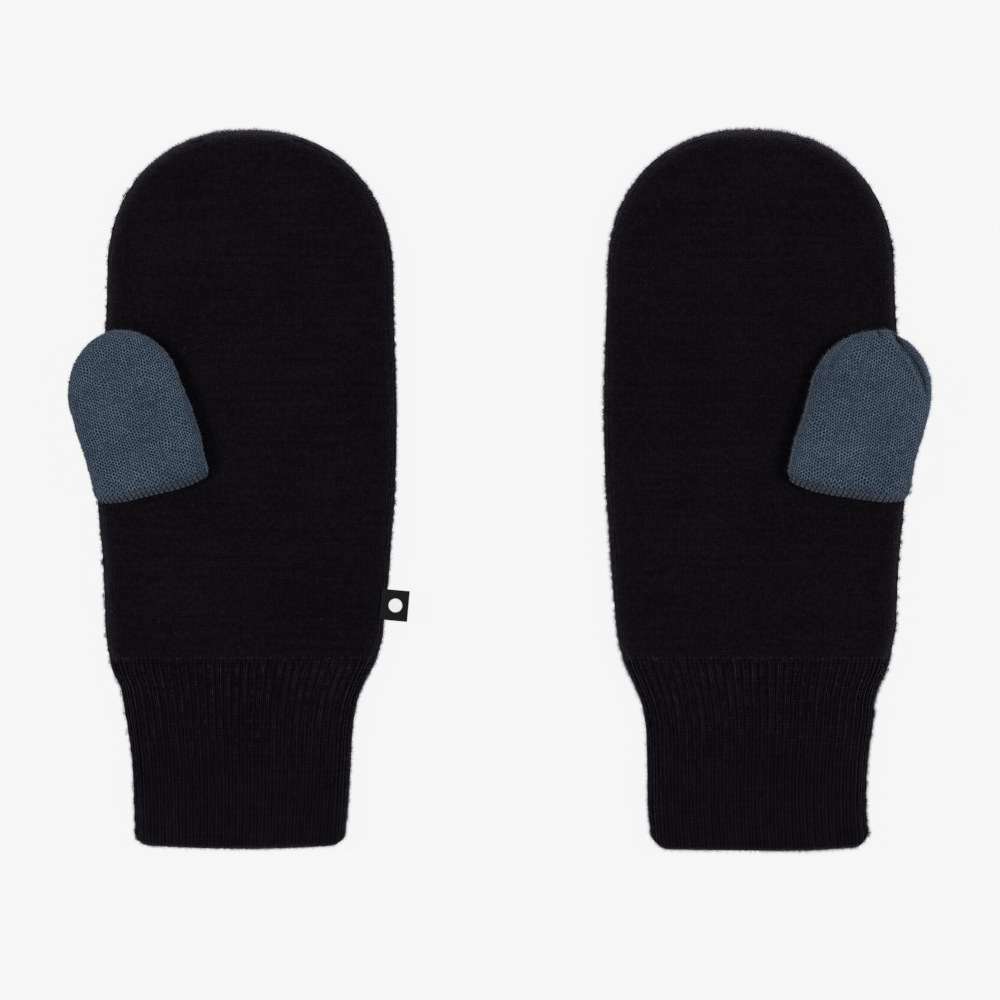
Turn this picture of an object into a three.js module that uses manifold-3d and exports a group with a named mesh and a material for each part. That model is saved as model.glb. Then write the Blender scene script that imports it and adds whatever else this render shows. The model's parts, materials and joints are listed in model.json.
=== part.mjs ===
// A pair of full knitted mittens, lying flat with their palms up and their fingertips towards +Y.
// Each one is a jersey hand, folded at the thumb side and seamed along the little-finger side,
// with a double ribbed cuff, a soft lining, and a thumb of its own sewn over a slit in the palm.
// Millimetres, +Z up. The left-hand mitten is at -X and the right-hand one at +X, thumbs outward.
// The origin is on the surface that the pair lies on, under the middle of the pair.

import * as THREE from 'three';
import { mergeVertices } from 'three/addons/utils/BufferGeometryUtils.js';
import Module from 'manifold-3d';

const wasm = await Module();
wasm.setup();

// ---- Driving dimensions ----

const length = 240; // hem to fingertips
const span = 288; // one thumb's outer edge to the other's
const handCentre = 83.7; // from the middle of the pair to the middle of a hand
const thickness = 14; // a hand or cuff lying flat
const edgeRadius = 6; // how round its edges are
const hemY = -length / 2;
const wristY = hemY + 60; // where the cuff meets the hand

const tipHalfWidth = 48.3; // the fingertip curve, a superellipse
const tipHeight = 50;
const tipFullness = 2.2; // 2 is an ellipse, and more is squarer
const tipBaseY = length / 2 - tipHeight;

const shellWall = 1.6; // the outer knit
const liningWall = 1.4;
const gap = 0.3; // between neighbouring layers
const liningInset = shellWall + gap;
const pocketInset = liningInset + liningWall;

const seamLow = 10; // the side seam lies on the palm side of the rounded edge
const seamHigh = 12;
const seamEndX = 30; // where it fades out, past the fingertips
const wristSeamWidth = 1.2;
const wristSeamInset = 0.6;
const wristSeamWall = 2;

const thumbWidth = 40; // lying flat
const thumbLength = 54;
const thumbThickness = 11;
const thumbEdgeRadius = 4.5;
const thumbDomeHeight = 22;
const thumbShellWall = 1.3;
const thumbLiningWall = 1.1;
const thumbLiningInset = thumbShellWall + gap;
const thumbPocketInset = thumbLiningInset + thumbLiningWall;

const slitLength = 25; // the way from the palm into the thumb
const slitWidth = 8.4;
const slitX = -3.5; // its middle, from the middle of the thumb's base line
const slitY = 9.4;
const slitSeamWall = 1;

const hemCorner = 4;
const labelWidth = 10;
const labelLength = 8.2; // how far it stands out of the seam
const labelThickness = 1;
const labelY = -38;
const labelTurn = -0.09; // along the mitten's edge, which slants there
const motifRadius = 2.3;
const motifThickness = 0.3;

// The edges below the fingertip curve, from beyond the hem upwards. x is from the hand's middle
// towards its thumb. The cuff is narrower and set a little towards the thumb, and flares out.
const beyondHem = hemY - 20;
const thumbSideEdge = [
  [38.6, beyondHem], [38.7, hemY], [38.6, -98], [40.8, -75], [44.8, -62],
  [48, -49], [50, -20], [50.6, 5], [49.4, 40], [tipHalfWidth, tipBaseY],
];
const littleFingerEdge = [
  [-33.6, beyondHem], [-33.6, hemY], [-34.2, -96], [-36, -75], [-40.4, -62],
  [-44.6, -49], [-47, -20], [-48.9, 20], [-48.8, 45], [-tipHalfWidth, tipBaseY],
];
const edgeSteps = 13;
const tipSteps = 22;
const bevelStep = 2; // millimetres of radius

// One entry for each mitten. side is -1 for the left hand and 1 for the right. The middle of the
// thumb's base line is at thumbY. The line is tilted down towards the outside, and the thumb's
// sides lean out from the square of it.
const mittens = [
  { name: 'left', side: -1, thumbY: 0.6, tilt: 0.239, lean: 0.03 },
  { name: 'right', side: 1, thumbY: -0.4, tilt: 0.145, lean: 0.075 },
];

// ---- Materials ----

const knit = (color) => new THREE.MeshStandardMaterial({ color, roughness: 0.95, metalness: 0 });
const handKnit = knit(0x141217);
const cuffKnit = knit(0x151318);
const thumbKnit = knit(0x3a4655);
const liningFleece = knit(0x1e1c22);
const seamYarn = knit(0x1b191e);
const labelTape = knit(0x141412);
const motifYarn = knit(0xe8e8e6);

// ---- Solids ----

const toSolid = (geometry) => {
  geometry.deleteAttribute('normal');
  geometry.deleteAttribute('uv');
  const merged = mergeVertices(geometry, 1e-4);
  return new wasm.Manifold(new wasm.Mesh({
    numProp: 3,
    vertProperties: new Float32Array(merged.attributes.position.array),
    triVerts: new Uint32Array(merged.index.array),
  }));
};

const toGeometry = (solid) => {
  const { vertProperties, triVerts } = solid.getMesh();
  const geometry = new THREE.BufferGeometry();
  geometry.setAttribute('position', new THREE.BufferAttribute(vertProperties, 3));
  geometry.setIndex(new THREE.BufferAttribute(triVerts, 1));
  geometry.computeVertexNormals();
  return geometry;
};

// A block between two corners.
const block = ([x0, y0, z0], [x1, y1, z1]) => {
  const geometry = new THREE.BoxGeometry(Math.abs(x1 - x0), Math.abs(y1 - y0), Math.abs(z1 - z0));
  return toSolid(geometry.translate((x0 + x1) / 2, (y0 + y1) / 2, (z0 + z1) / 2));
};

// An upright prism, moved by a matrix if one is given.
const prism = (shape, low, high, matrix = new THREE.Matrix4()) => {
  const options = { depth: high - low, bevelEnabled: false, curveSegments: 8 };
  return toSolid(new THREE.ExtrudeGeometry(shape, options).translate(0, 0, low).applyMatrix4(matrix));
};

// A flat solid with round edges, this far inside the outline and inside its own two faces.
const pillow = (shape, height, radius, inset) => {
  const round = radius - inset;
  const geometry = new THREE.ExtrudeGeometry(shape, {
    depth: height - 2 * inset - 2 * round,
    bevelThickness: round,
    bevelSize: round,
    bevelOffset: -round - inset,
    bevelSegments: Math.ceil(round / bevelStep),
  });
  return toSolid(geometry.translate(0, 0, inset + round));
};

// ---- Outlines ----

const arch = (halfWidth, height, fullness, baseY, steps) => {
  const points = [];
  for (let i = 1; i < steps; i++) {
    const angle = (Math.PI * i) / steps;
    const across = Math.cos(angle);
    points.push(new THREE.Vector2(
      Math.sign(across) * halfWidth * Math.abs(across) ** (2 / fullness),
      baseY + height * Math.sin(angle) ** (2 / fullness),
    ));
  }
  return points;
};

const smooth = (points) => new THREE.SplineCurve(points.map(([x, y]) => new THREE.Vector2(x, y)))
  .getPoints(edgeSteps);

const handShape = (side) => {
  const points = [
    ...smooth(thumbSideEdge),
    ...arch(tipHalfWidth, tipHeight, tipFullness, tipBaseY, tipSteps),
    ...smooth(littleFingerEdge).reverse(),
  ];
  return new THREE.Shape(points.map((p) => new THREE.Vector2(side * (handCentre + p.x), p.y)));
};

// The thumb, with its base line on x and its tip towards +y.
const thumbShape = (side, lean) => {
  const half = thumbWidth / 2;
  const points = [
    new THREE.Vector2(-half, 0),
    new THREE.Vector2(half, 0),
    ...arch(half, thumbDomeHeight, tipFullness, thumbLength - thumbDomeHeight, tipSteps / 2 + 5),
  ];
  return new THREE.Shape(points.map((p) => new THREE.Vector2(side * (p.x + p.y * lean), p.y)));
};

const slitPath = (side, grow, PathClass = THREE.Shape) => {
  const radius = slitWidth / 2 + grow;
  const reach = (slitLength - slitWidth) / 2;
  const path = new PathClass();
  path.absarc(side * slitX + reach, slitY, radius, -Math.PI / 2, Math.PI / 2);
  path.absarc(side * slitX - reach, slitY, radius, Math.PI / 2, (3 * Math.PI) / 2);
  return path;
};

// ---- Pieces ----

// Where a thumb lies: its base line on the palm, pushed out until its edge is at the pair's side.
const thumbMatrix = ({ side, thumbY, tilt, lean }) => {
  const turn = new THREE.Matrix4().makeRotationZ(-side * tilt);
  const reach = Math.max(...thumbShape(side, lean).getPoints()
    .map((p) => side * new THREE.Vector3(p.x, p.y, 0).applyMatrix4(turn).x));
  return turn.setPosition(side * (span / 2 - reach), thumbY, thickness + gap);
};

const handPieces = (mitten) => {
  const { side } = mitten;
  const shape = handShape(side);
  const layer = (inset) => pillow(shape, thickness, edgeRadius, inset);
  const x = (fromCentre) => side * (handCentre + fromCentre);
  const far = length;
  const slice = (solid, low, high) => solid.intersect(block([-far, low, -1], [far, high, thickness + 1]));
  const seamZone = (grow) => block(
    [x(-far), wristY + wristSeamWidth, seamLow - grow],
    [x(seamEndX + grow), far, seamHigh + grow],
  );
  const handLow = wristY + wristSeamWidth / 2 + gap;
  const cuffHigh = wristY - wristSeamWidth / 2 - gap;

  const outer = layer(0).subtract(layer(shellWall));
  const inner = layer(liningInset).subtract(layer(pocketInset));
  const slit = prism(
    slitPath(side, slitSeamWall + gap), -thickness / 2, 1, thumbMatrix(mitten),
  );
  const slitSeam = slitPath(side, slitSeamWall);
  slitSeam.holes.push(slitPath(side, 0, THREE.Path));
  const seamRing = layer(wristSeamInset).subtract(layer(wristSeamInset + wristSeamWall));

  const roundHem = (solid) => [[-1, littleFingerEdge[1][0]], [1, thumbSideEdge[1][0]]]
    .reduce((cut, [outward, edge]) => cut.subtract(hemCutter(x(edge), side * outward)), solid);

  return {
    hand_shell: [
      slice(outer, handLow, far).subtract(slit).subtract(seamZone(gap)),
      handKnit,
    ],
    hand_lining: [slice(inner, handLow, far).subtract(slit), liningFleece],
    side_seam: [outer.intersect(seamZone(0)), seamYarn],
    wrist_seam: [
      slice(seamRing, wristY - wristSeamWidth / 2, wristY + wristSeamWidth / 2),
      seamYarn,
    ],
    thumb_seam: [
      prism(slitSeam, -pocketInset - gap, -gap, thumbMatrix(mitten)),
      seamYarn,
    ],
    cuff_outer: [roundHem(slice(outer, hemY, cuffHigh)), cuffKnit],
    cuff_inner: [roundHem(slice(inner, hemY, cuffHigh)), cuffKnit],
  };
};

// What is cut off to round one corner of the hem: outward is -1 or 1 along X.
function hemCutter(edgeX, outward) {
  const centreX = edgeX - outward * hemCorner;
  const shape = new THREE.Shape();
  shape.moveTo(edgeX + outward, hemY - 1);
  shape.lineTo(edgeX + outward, hemY + hemCorner);
  shape.lineTo(edgeX, hemY + hemCorner);
  shape.absarc(centreX, hemY + hemCorner, hemCorner, outward > 0 ? 0 : Math.PI, -Math.PI / 2, outward > 0);
  shape.lineTo(centreX, hemY - 1);
  return prism(shape, -1, thickness + 1);
}

const thumbPieces = ({ side, lean }) => {
  const shape = thumbShape(side, lean);
  const layer = (inset) => pillow(shape, thumbThickness, thumbEdgeRadius, inset);
  const slit = prism(slitPath(side, 0), -1, thumbThickness / 2);
  return {
    thumb_shell: [layer(0).subtract(layer(thumbShellWall)).subtract(slit), thumbKnit],
    thumb_lining: [
      layer(thumbLiningInset).subtract(layer(thumbPocketInset)).subtract(slit),
      liningFleece,
    ],
  };
};

// A woven tape folded in two, its round fold outward, with a plain dot woven on the top.
const labelPieces = () => {
  const fold = labelThickness / 2;
  const profile = new THREE.Shape();
  profile.moveTo(0, -fold);
  profile.absarc(labelLength - fold, 0, fold, -Math.PI / 2, Math.PI / 2);
  profile.lineTo(0, fold);
  const tape = new THREE.ExtrudeGeometry(profile, {
    depth: labelWidth, bevelEnabled: false, curveSegments: 6,
  });
  tape.rotateX(Math.PI / 2).translate(0, labelWidth / 2, 0);
  const dot = new THREE.CylinderGeometry(motifRadius, motifRadius, motifThickness, 24);
  dot.rotateX(Math.PI / 2).translate(labelLength / 2, 0, fold + gap + motifThickness / 2);
  return { label: [toSolid(tape), labelTape], label_motif: [toSolid(dot), motifYarn] };
};

// ---- Assembly ----

const addPieces = (parent, name, pieces) => {
  for (const [piece, [solid, material]] of Object.entries(pieces)) {
    const mesh = new THREE.Mesh(toGeometry(solid), material);
    mesh.name = `${name}_${piece}`;
    parent.add(mesh);
  }
};

const pair = new THREE.Group();
for (const mitten of mittens) {
  addPieces(pair, mitten.name, handPieces(mitten));
  const thumb = new THREE.Group();
  thumb.applyMatrix4(thumbMatrix(mitten));
  addPieces(thumb, mitten.name, thumbPieces(mitten));
  pair.add(thumb);
}

const label = new THREE.Group();
const labelEdge = -45.1;
label.position.set(-(handCentre + labelEdge), labelY, (seamLow + seamHigh) / 2);
label.rotation.z = labelTurn;
addPieces(label, 'left', labelPieces());
pair.add(label);

export default pair;
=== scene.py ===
"""A pair of knitted mittens lying palm up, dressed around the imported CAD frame.

Shapes are worked out in millimetres and turned into metres when a mesh is made. Every knitted piece
is a stack of rings around a flattened tube: a ring starts at the little-finger edge, crosses the
palm to the thumb-side edge, and comes back along the underside. Places on a mitten are x from the
hand's middle towards its thumb, y towards the fingertips and z up, so one set of shapes makes both.
"""

import json
import math
from types import SimpleNamespace

import bpy
import mathutils
import numpy as np
from mathutils.kdtree import KDTree
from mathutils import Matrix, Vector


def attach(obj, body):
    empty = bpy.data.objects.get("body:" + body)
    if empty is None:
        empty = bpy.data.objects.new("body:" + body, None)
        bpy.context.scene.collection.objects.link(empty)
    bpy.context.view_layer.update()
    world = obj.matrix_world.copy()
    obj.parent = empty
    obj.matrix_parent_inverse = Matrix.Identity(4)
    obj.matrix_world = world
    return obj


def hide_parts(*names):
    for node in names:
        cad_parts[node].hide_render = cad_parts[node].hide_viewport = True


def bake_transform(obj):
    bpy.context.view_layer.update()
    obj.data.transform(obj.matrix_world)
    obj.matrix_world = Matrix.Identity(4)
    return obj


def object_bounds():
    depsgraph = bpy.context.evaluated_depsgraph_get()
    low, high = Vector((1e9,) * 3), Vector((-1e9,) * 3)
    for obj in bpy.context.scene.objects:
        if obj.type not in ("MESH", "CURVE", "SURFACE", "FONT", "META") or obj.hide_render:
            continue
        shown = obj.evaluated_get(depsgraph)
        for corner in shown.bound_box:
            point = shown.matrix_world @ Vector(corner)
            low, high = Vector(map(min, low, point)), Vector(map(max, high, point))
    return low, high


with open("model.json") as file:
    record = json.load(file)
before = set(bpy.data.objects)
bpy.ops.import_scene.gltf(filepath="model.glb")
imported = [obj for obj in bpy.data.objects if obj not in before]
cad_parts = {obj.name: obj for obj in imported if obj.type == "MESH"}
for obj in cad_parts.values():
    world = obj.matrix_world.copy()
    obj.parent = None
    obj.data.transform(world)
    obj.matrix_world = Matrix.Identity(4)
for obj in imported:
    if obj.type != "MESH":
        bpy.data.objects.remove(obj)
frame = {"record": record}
cad_low, cad_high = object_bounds()
scene = bpy.context.scene

MM = 0.001
TAU = 2 * math.pi

# ---- sizes, in millimetres

HAND_CENTRE = 83.7  # from the middle of the pair to the middle of a hand
HEM_Y = cad_low.y / MM
TOP_Y = cad_high.y / MM
WRIST_Y = -55.6  # where its ribs start
TIP_HEIGHT = 50
TIP_BASE_Y = TOP_Y - TIP_HEIGHT
ROW = 3.0  # the settled shape's grid
ACROSS = 36
EDGE_ROUND = 6.0
LIFT = 0.15  # off the surface
CROWN = 1.3  # how much fuller the palm is in its middle
WAVES = 0.28  # how far the palm rises and falls where it settled
SHELL = 1.6  # the hand's knit, through
LINING_GAP = 0.3
LINING = 1.4
WALE = 1.6
COURSE = 1.08
SLANT = 0.5  # of a stitch's legs, in courses for each half wale
LEGS = 0.22  # how deep the line between two stitches' legs is
HOLE = 4.5  # how narrow a stitch's holes are drawn
HOLE_LONG = 0.55  # and how short
STITCH_BUMP = 0.2  # how deep a knit's material draws its stitches
HAND_RELIEF = 0.16  # how high the ridges of the hand's wales stand
RIBS = 32  # on one face
HEM_FOLD = 2.0  # half of what the cuff's folded hem measures through
CUFF_DEEP = 2.6  # what the folded cuff measures through at the wrist
SEAM_INSET = 1.7  # from the outline in to the side seam
SEAM_YARN = 0.2  # the side seam's radius
THICK_YARN = 0.4  # the other seams' radius
CORD_SIDES = 6
FIBRE = 0.028  # a loose fibre's radius
HAND_FIBRES = 40000
CUFF_FIBRES = 30000
THUMB_FIBRES = 30000
THUMB_FIBRE = 0.6  # its fibres' radius, as a share of the others'

THUMB_ROUND = 4.4
THUMB_HALF = 4.2  # half of what it measures through
THUMB_FLOOR = 14.2  # its underside's height over the surface
THUMB_WALE = 1.75
THUMB_COURSE = 1.09
THUMB_ROW = 2.0
THUMB_SHELL = 1.3
THUMB_GAP = 0.2  # from its knit to its lining
THUMB_LINING = 0.9
THUMB_RELIEF = 0.45  # how high its stitches stand
LOOSE = (0.2, 2.0)  # the courses over which its first loops tighten
THUMB_MOUTH = -1.1  # how far its base reaches past its hinge line
THUMB_SAG = 1.3  # how much further it reaches in its middle

# Each mitten as it lies. Edges are (y, x) points below the fingertips' curve, hem is (x, rise), the
# thumb's edges are (distance along it, distance out from its middle) points below its own tip, and
# creases are (line of (x, y) points, depth, width to its left, width to its right). Fullness is the
# roundness of a tip on its low and its high side, where 2 is an ellipse. fuzz and thumb_fuzz are the
# longest that a loose fibre can be.
LEFT = SimpleNamespace(
    name="left",
    side=-1,
    seed=11,
    thumb_edge=[
        (-120, 37.8), (-105, 38.3), (-90, 39.0), (-78, 40.5), (-70, 41.7), (-66, 42.5), (-61, 45.0),
        (-55, 46.6), (-48, 47.7), (-38, 48.0), (-22, 48.7), (-6, 50.2), (20, 50.3), (45, 48.5),
        (60, 47.5), (70, 47.3),
    ],
    finger_edge=[
        (-120, -31.6), (-108, -32.6), (-90, -33.6), (-76, -34.7), (-69, -36.2), (-63, -38.8), (-57, -41.9),
        (-51, -44.0), (-44, -44.8), (-34, -46.0), (-20, -47.1), (-5, -48.3), (25, -49.2), (55, -48.3),
        (70, -48.0),
    ],
    tip_fullness=(2.2, 2.27),
    hem=[(-32, 1.7), (-12, 0.8), (14, 0.7), (38, 1.9)],
    hem_corner=3.0,
    thumb_inner=[(-1.1, -18.6), (1.5, -19.2), (5, -19.2), (14, -19.6), (24, -18.8), (32, -17.5)],
    thumb_outer=[(-1.1, 18.6), (1.5, 18.6), (6, 18.6), (14, 18.9), (24, 19.8), (32, 20.1)],
    thumb_top=53.0,
    thumb_fullness=(2.0, 1.95),
    thumb_peak=0.0,
    creases=[],
    fuzz=2.3,
    thumb_fuzz=1.3,
)
RIGHT = SimpleNamespace(
    name="right",
    side=1,
    seed=23,
    thumb_edge=[
        (-120, 39.3), (-110, 38.5), (-100, 38.4), (-88, 39.1), (-76, 40.7), (-69, 41.3), (-65, 42.7),
        (-60, 45.1), (-54, 46.7), (-47, 48.1), (-38, 48.6), (-22, 49.4), (-6, 50.9), (20, 51.0),
        (45, 49.2), (60, 48.1), (70, 47.7),
    ],
    finger_edge=[
        (-120, -33.0), (-108, -34.0), (-90, -34.3), (-77, -34.9), (-70, -36.5), (-64, -39.1), (-57, -42.2),
        (-51, -43.9), (-42, -45.0), (-30, -46.1), (-15, -47.1), (-5, -47.9), (25, -49.0), (55, -48.2),
        (70, -47.7),
    ],
    tip_fullness=(2.3, 2.27),
    hem=[(-33, 0.5), (-10, 0.0), (18, 0.0), (38, 1.2)],
    hem_corner=4.5,
    thumb_inner=[(-1.1, -20.8), (2, -21.6), (9, -21.5), (14, -21.2), (21, -19.7), (30, -18.7)],
    thumb_outer=[(-1.1, 17.8), (2, 18.3), (14, 18.9), (22, 20.3), (30, 21.3)],
    thumb_top=53.0,
    thumb_fullness=(2.0, 2.3),
    thumb_peak=0.9,
    creases=[
        ([(45.6, 51.6), (46.6, 49.0), (48.6, 46.0), (51.2, 43.0), (53.4, 39.5), (55.0, 36.0), (56.0, 32.5)],
         6.0, 1.3, 0.9),
        ([(34.5, 49.6), (31.5, 47.6), (28.5, 44.8), (26.0, 41.6), (24.6, 38.0)], 3.0, 0.9, 1.3),
        ([(40.4, 53.4), (40.8, 51.6), (41.6, 49.6)], 2.2, 0.8, 0.8),
    ],
    fuzz=2.8,
    thumb_fuzz=2.2,
)

# ---- small numeric helpers


def ramp(x, low, high):
    t = np.clip((np.asarray(x, float) - low) / (high - low), 0, 1)
    return t * t * (3 - 2 * t)


def curve_through(points, at):
    """A smooth curve through (place, value) points, read at the given places."""
    x, y = np.array(points, float).T
    slope = np.gradient(y, x)
    k = np.clip(np.searchsorted(x, at) - 1, 0, len(x) - 2)
    step = x[k + 1] - x[k]
    t = np.clip((at - x[k]) / step, 0, 1)
    return (
        y[k] * (1 + 2 * t) * (1 - t) ** 2
        + slope[k] * step * t * (1 - t) ** 2
        + y[k + 1] * t * t * (3 - 2 * t)
        + slope[k + 1] * step * t * t * (t - 1)
    )


def around_edge(n, width, radius, ends=2):
    """n + 1 places over width that are evenly spaced along a cloth turning down at its ends."""
    quarter = radius * math.pi / 2
    total = width + ends * (quarter - radius)
    a = np.linspace(0, total, n + 1)
    if ends == 1:
        a = a[::-1]
    from_end = np.minimum(a, total - a) if ends == 2 else a
    d = np.where(
        from_end < quarter,
        radius * (1 - np.cos(np.minimum(from_end, quarter) / radius)),
        from_end - quarter + radius,
    )
    if ends == 1:
        return (width - d) / width
    return np.where(a <= total / 2, d, width - d) / width


def catmull(at, n):
    """The weights that read a row of n + 1 values, padded by one at each end, at fractional places."""
    k = np.clip(np.floor(at).astype(int), 0, n - 1)
    t = at - k
    w = np.zeros((len(at), n + 3))
    rows = np.arange(len(at))
    for j, value in enumerate([
        (-t + 2 * t**2 - t**3) / 2,
        (2 - 5 * t**2 + 3 * t**3) / 2,
        (t + 4 * t**2 - 3 * t**3) / 2,
        (-(t**2) + t**3) / 2,
    ]):
        w[rows, k + j] += value
    return w


def waves(x, y, seed, longest=70.0, shortest=18.0, count=9):
    """A smooth random surface of about -1 to 1, made of a few long waves in all directions."""
    chance = np.random.default_rng(seed)
    total = 0 * x
    for _ in range(count):
        length = chance.uniform(shortest, longest)
        heading = chance.uniform(0, TAU)
        start = chance.uniform(0, TAU)
        along = x * math.cos(heading) + y * math.sin(heading)
        total = total + np.sin(TAU * along / length + start) * length / longest
    return total / math.sqrt(count) * 1.6


def unit(vectors):
    return vectors / np.linalg.norm(vectors, axis=-1, keepdims=True)


def evenly(points, count):
    """The points of a polyline read at count + 1 evenly spaced places."""
    points = np.asarray(points, float)
    run = np.concatenate([[0], np.cumsum(np.linalg.norm(np.diff(points, axis=0), axis=1))])
    at = np.linspace(0, run[-1], count + 1)
    return np.stack([np.interp(at, run, points[:, k]) for k in range(points.shape[1])], 1)


def nearest(points, targets):
    """For each point, which target is nearest to it, and how far off it is."""
    tree = KDTree(len(targets))
    for k, target in enumerate(targets):
        tree.insert(target, k)
    tree.balance()
    found = [tree.find(p)[1:] for p in points]
    which, off = zip(*found)
    return np.array(which), np.array(off)


# ---- a flat tube with a closed tip


def padded(palm, back):
    """Both faces of a tube as one grid that runs over its tip, with a margin that goes round its edges."""
    chain = np.concatenate([palm, back[-2::-1]])
    beyond = chain[::-1]
    chain = np.concatenate([beyond[:, 1:2], chain, beyond[:, -2:-1]], axis=1)
    first, last = 2 * chain[:1] - chain[1:2], 2 * chain[-1:] - chain[-2:-1]
    return np.concatenate([first, chain, last])


class Tube:
    """A flattened tube, from row 0 at its mouth to its closed tip. out is the way out of the cloth at
    each point, and knit is how far across and along the cloth it is, the same on both faces."""

    def __init__(self, palm, back, palm_out, back_out, knit):
        self.rows, self.columns = palm.shape[0] - 1, palm.shape[1] - 1
        self.surface = padded(palm, back)
        self.out = padded(palm_out, back_out)
        self.knit = padded(knit, knit)

    def around(self, grid, rows, count):
        """Rings at the given rows, each with count steps on the palm and count on the back."""
        rows = np.asarray(rows, float)
        by_column = catmull(np.linspace(0, self.columns, count + 1), self.columns)
        faces = []
        for face_rows in (rows, 2 * self.rows - rows):
            by_row = catmull(face_rows, 2 * self.rows)
            faces.append(np.einsum("ri,ijk,cj->rck", by_row, grid, by_column, optimize=True))
        return np.concatenate([faces[0][:, :-1], faces[1][:, :0:-1]], axis=1)

    def rings(self, rows, count):
        return self.around(self.surface, rows, count)

    def normals(self, rows, count):
        return unit(self.around(self.out, rows, count))

    def inset(self, rows, count, depth):
        """Rings of the tube's inside, depth in from its surface."""
        return self.rings(rows, count) - self.normals(rows, count) * depth

    def stitches(self, rows, count, wale, course, seed):
        """Wales and courses counted over the cloth, a little out of line as knitting is."""
        across, along = np.moveaxis(self.around(self.knit, rows, count), 2, 0)
        sway = [0.13 * waves(across, along, seed + k, 11.0, 3.5, 16) for k in (0, 1)]
        return np.stack([across / wale + sway[0], along / course + sway[1]], 2)


def outward(rings):
    """Unit normals of a stack of rings that runs towards a tip, and how much surface each point has."""
    along = np.gradient(rings, axis=0)
    round_ = np.roll(rings, -1, axis=1) - np.roll(rings, 1, axis=1)
    n = np.cross(round_, along)
    size = np.linalg.norm(n, axis=2, keepdims=True)
    return n / np.maximum(size, 1e-9), size


# ---- flat outlines


def dome(across, up, half_width, height, fullness):
    """A point inside a fingertip's curve, from -1..1 across and 0..1 up. fullness is (low, high) side."""
    x = across * np.sqrt(1 - up**2 / 2)
    y = up * np.sqrt(1 - across**2 / 2)
    radius = np.hypot(x, y)
    angle = np.arctan2(y, x)
    power = np.where(x < 0, fullness[0], fullness[1])
    square = (np.abs(np.cos(angle)) ** power + np.abs(np.sin(angle)) ** power) ** (-1 / power)
    grow = 1 + (square - 1) * radius**2
    return x * grow * half_width, y * grow * height


def plan(low_edge, high_edge, mouth, base, height, fullness, row, across, edge_round):
    """A grid over an outline that ends in a dome: x and y, the gap from each point to the outline, how
    the cloth leans out there as it turns down, and where it would lie if it were laid flat (knit)."""
    body_y = np.linspace(mouth, base, round((base - mouth) / row) + 1)
    low, high = curve_through(low_edge, body_y), curve_through(high_edge, body_y)
    share = around_edge(across, high[-1] - low[-1], edge_round)
    calm_low, calm_high = calmed(low, row), calmed(high, row)
    body_x = calm_low[:, None] + share * (calm_high - calm_low)[:, None]
    body_x += (low - calm_low)[:, None] * (1 - share) ** 7 + (high - calm_high)[:, None] * share**7
    up = around_edge(round(height / row) + 1, height, edge_round, ends=1)[1:]
    tip_x, tip_y = dome(2 * share[None] - 1, up[:, None], (high[-1] - low[-1]) / 2, height, fullness)
    x = np.concatenate([body_x, tip_x + (high[-1] + low[-1]) / 2])
    y = np.concatenate([body_y[:, None] + 0 * share[None], tip_y + base])
    gap, way_out = from_outline(x, y)
    lean = np.clip(1 - gap / edge_round, 0, 1)[..., None]
    spare = edge_round * (np.arcsin(lean) - lean)
    knit = np.stack([x, y], 2) + spare * way_out
    return SimpleNamespace(x=x, y=y, gap=gap, lean=lean * way_out, knit=knit)


def calmed(edge, row, reach=12.0):
    """An edge averaged along its length, for the wales away from it to follow."""
    n = min(round(reach / row), len(edge) // 3)
    window = np.hanning(2 * n + 3)[1:-1]
    line = np.concatenate([2 * edge[0] - edge[n:0:-1], edge, 2 * edge[-1] - edge[-2:-n - 2:-1]])
    return np.convolve(line, window / window.sum(), mode="valid")


def from_outline(x, y):
    """How far each grid point is from the grid's sides and tip, and the direction out to them."""
    edge = np.concatenate([
        np.stack([x[:, 0], y[:, 0]], 1),
        np.stack([x[-1], y[-1]], 1),
        np.stack([x[:, -1], y[:, -1]], 1)[::-1],
    ])
    edge = evenly(edge, 4 * len(edge))
    ahead = unit(np.gradient(edge, axis=0))
    points = np.stack([x.ravel(), y.ravel()], 1)
    off = np.linalg.norm(points[:, None] - edge[None], axis=2)
    way_out = np.stack([-ahead[:, 1], ahead[:, 0]], 1)[off.argmin(axis=1)]
    return off.min(axis=1).reshape(x.shape), way_out.reshape(*x.shape, 2)


def rounded(gap, radius):
    """0 at an edge and 1 from radius inwards, along a quarter circle."""
    t = np.clip(gap / radius, 0, 1)
    return np.sqrt(1 - (1 - t) ** 2)


# ---- the settled shape of a mitten


def lying_half(y):
    """Half of what the hand or cuff measures through near its edges."""
    return 5.3 + 0.8 * ramp(y, -70, -40)


def palm_height(m, x, y):
    """The palm's height near the thumb-side edge."""
    gap = np.maximum(curve_through(m.thumb_edge, np.asarray(y, float)) - x, 0)
    half = lying_half(y)
    return half + LIFT + half * rounded(gap, EDGE_ROUND) + CROWN * ramp(gap, 4, 34)


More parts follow.
